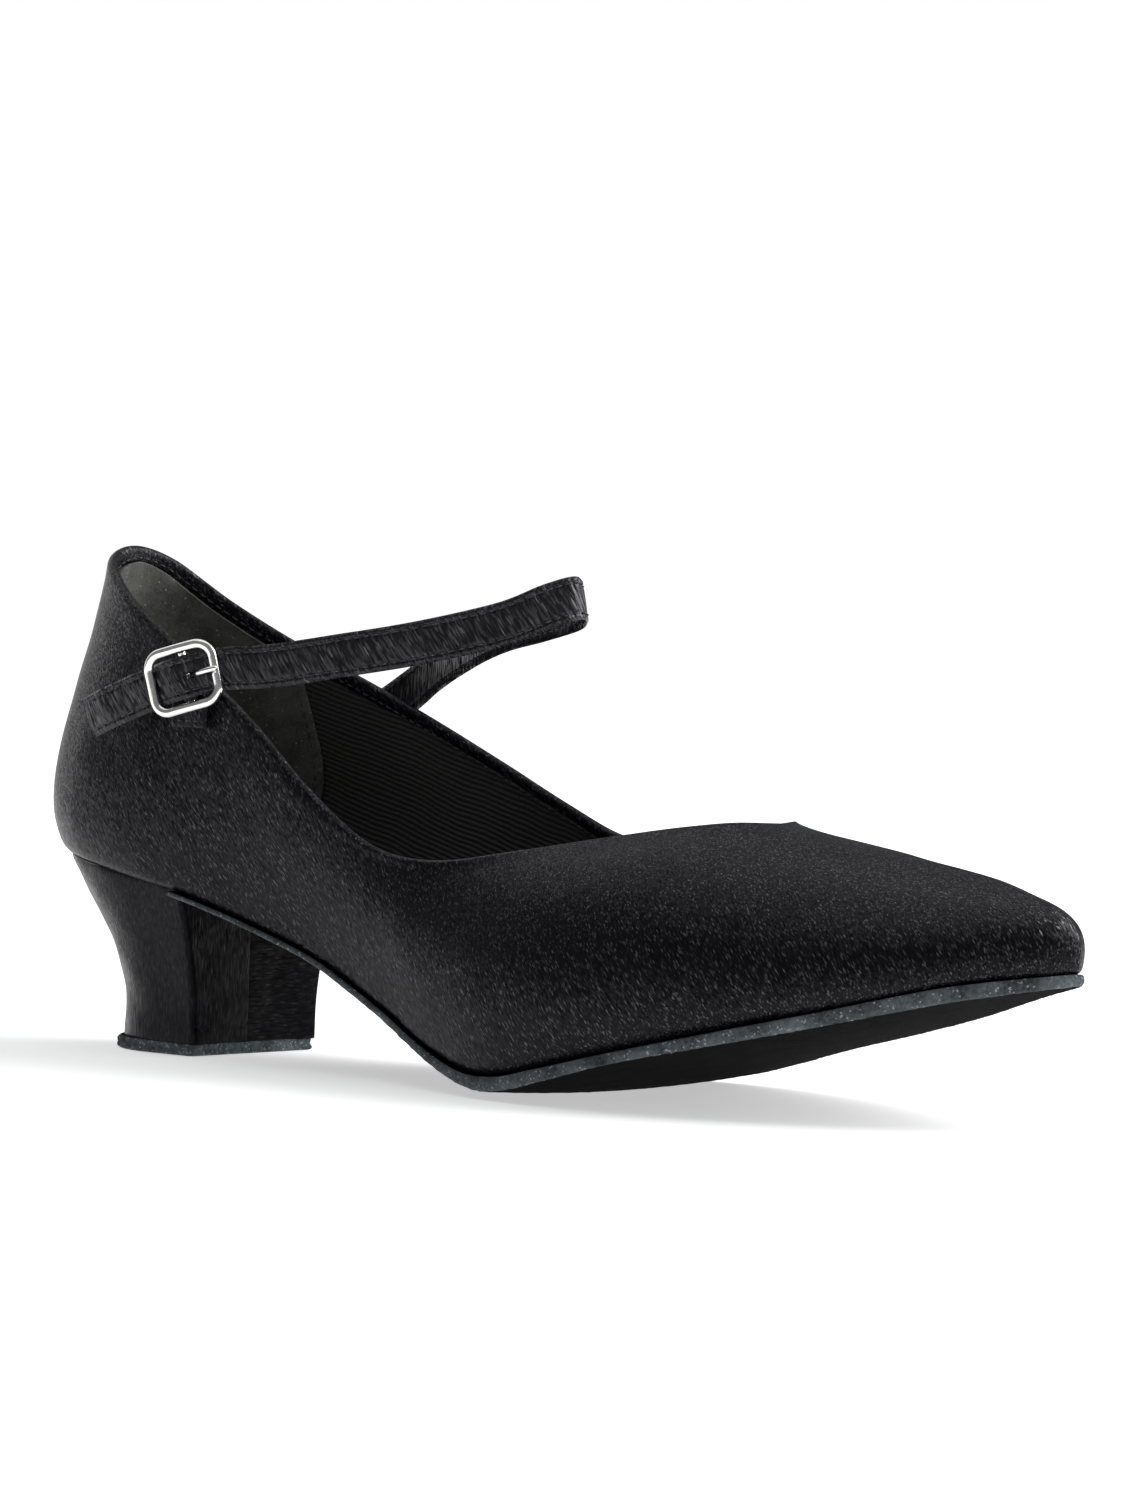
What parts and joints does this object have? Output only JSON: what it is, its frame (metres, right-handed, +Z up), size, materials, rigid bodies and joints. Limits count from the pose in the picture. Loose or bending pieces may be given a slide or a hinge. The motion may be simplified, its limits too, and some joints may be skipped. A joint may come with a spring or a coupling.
{
  "type": "strap court shoe",
  "caption": "Right-foot satin court shoe with an instep strap and buckle, a low curved heel, a suede sole and a closed pointed toe.",
  "frame": {"origin": "middle of the heel tip's tread face, on the ground", "axes": "+X towards the toe, +Y towards the medial side, +Z up"},
  "size_m": [0.238, 0.079, 0.0986],
  "materials": {
    "black_satin": "short-float satin",
    "black_lining": "fine twill",
    "grey_suede": "napped suede",
    "sole_suede": "brushed suede",
    "sock_material": "matte",
    "foam": "soft foam",
    "fibreboard": "pressed fibre",
    "stiffener": "matte",
    "interlining": "woven",
    "steel": "plain",
    "heel_plastic": "moulded",
    "nickel": "polished",
    "thread": "twisted thread"
  },
  "bodies": {
    "shoe": {"upper_satin": "black_satin", "heel_cover": "black_satin", "heel_breast_cover": "black_satin", "topline_facing": "black_satin", "upper_lining": "black_lining", "heel_grip": "grey_suede", "outsole": "sole_suede", "heel_tip": "sole_suede", "sock_lining": "sock_material", "insole_foam": "foam", "insole_board": "fibreboard", "bottom_filler": "fibreboard", "heel_counter": "stiffener", "toe_puff": "stiffener", "lateral_interlining": "interlining", "medial_interlining": "interlining", "shank": "steel", "seat_nails": "steel", "heel_screw": "steel", "shank_rivets": "steel", "heel_tip_pins": "steel", "heel_block": "heel_plastic"},
    "strap_loop": {"strap_satin": "black_satin", "strap_backing": "black_lining", "buckle_frame": "nickel", "buckle_tab": "black_satin", "strap_anchor_stitches": "thread", "buckle_tab_stitches": "thread"},
    "prong": {"buckle_prong": "nickel"}
  },
  "joints": [
    {"name": "strap_swing", "type": "hinge", "parent": "shoe", "child": "strap_loop", "pos_m": [0.018, 0, 0.066], "axis": [0, -1, 0], "range_deg": [0, 30]},
    {"name": "prong_turn", "type": "hinge", "parent": "strap_loop", "child": "prong", "pos_m": [0.02179, -0.03097, 0.07335], "axis": [0.2806, 0.049, -0.9586], "range_deg": [0, 60]}
  ]
}
